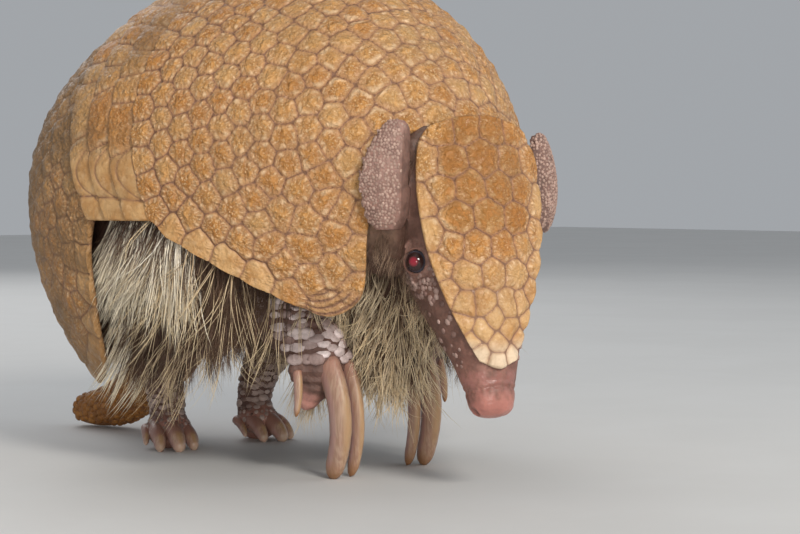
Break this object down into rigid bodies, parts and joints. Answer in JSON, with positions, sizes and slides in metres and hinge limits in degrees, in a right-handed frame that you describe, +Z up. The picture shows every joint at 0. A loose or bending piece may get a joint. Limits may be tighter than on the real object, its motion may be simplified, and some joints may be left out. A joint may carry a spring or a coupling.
{
  "type": "three-banded armadillo",
  "caption": "Still, life-size model of a three-banded armadillo standing on its claw tips and hind feet, with domed shell plates, a hanging head and a fringe of bristles.",
  "frame": {"origin": "centre of the bounding box, on the floor that the animal stands on", "axes": "+Z up; the animal faces -Y; +X is its left side; the box is longest along Y"},
  "size_m": [0.1492, 0.2298, 0.1556],
  "materials": {
    "shell": "horny scutes, golden tan, satin, with darker grooves",
    "skin": "bare brown skin with small warts and sparse hair",
    "nose": "bare moist pink-brown skin",
    "ear": "grainy pink-brown skin",
    "eye": "wet, near black",
    "coat": "coarse cream and brown bristles",
    "tail": "rough orange-brown horny tubercles",
    "leg": "dark brown hide with pale scales",
    "claw": "smooth pinkish horn"
  },
  "bodies": {
    "root": {"shell_front": "shell", "shell_band_1": "shell", "shell_band_2": "shell", "shell_band_3": "shell", "shell_rear": "shell", "head_shield": "shell", "head": "skin", "neck": "skin", "nose": "nose", "ear_left": "ear", "ear_right": "ear", "eye_left": "eye", "eye_right": "eye", "trunk": "coat", "tail": "tail", "foreleg_left": "leg", "foreleg_right": "leg", "hindleg_left": "leg", "hindleg_right": "leg", "claw_fore_left_1": "claw", "claw_fore_left_2": "claw", "claw_fore_left_3": "claw", "claw_fore_left_4": "claw", "claw_fore_right_1": "claw", "claw_fore_right_2": "claw", "claw_fore_right_3": "claw", "claw_fore_right_4": "claw", "claw_hind_left_1": "claw", "claw_hind_left_2": "claw", "claw_hind_left_3": "claw", "claw_hind_left_4": "claw", "claw_hind_left_5": "claw", "claw_hind_right_1": "claw", "claw_hind_right_2": "claw", "claw_hind_right_3": "claw", "claw_hind_right_4": "claw", "claw_hind_right_5": "claw"}
  },
  "joints": []
}
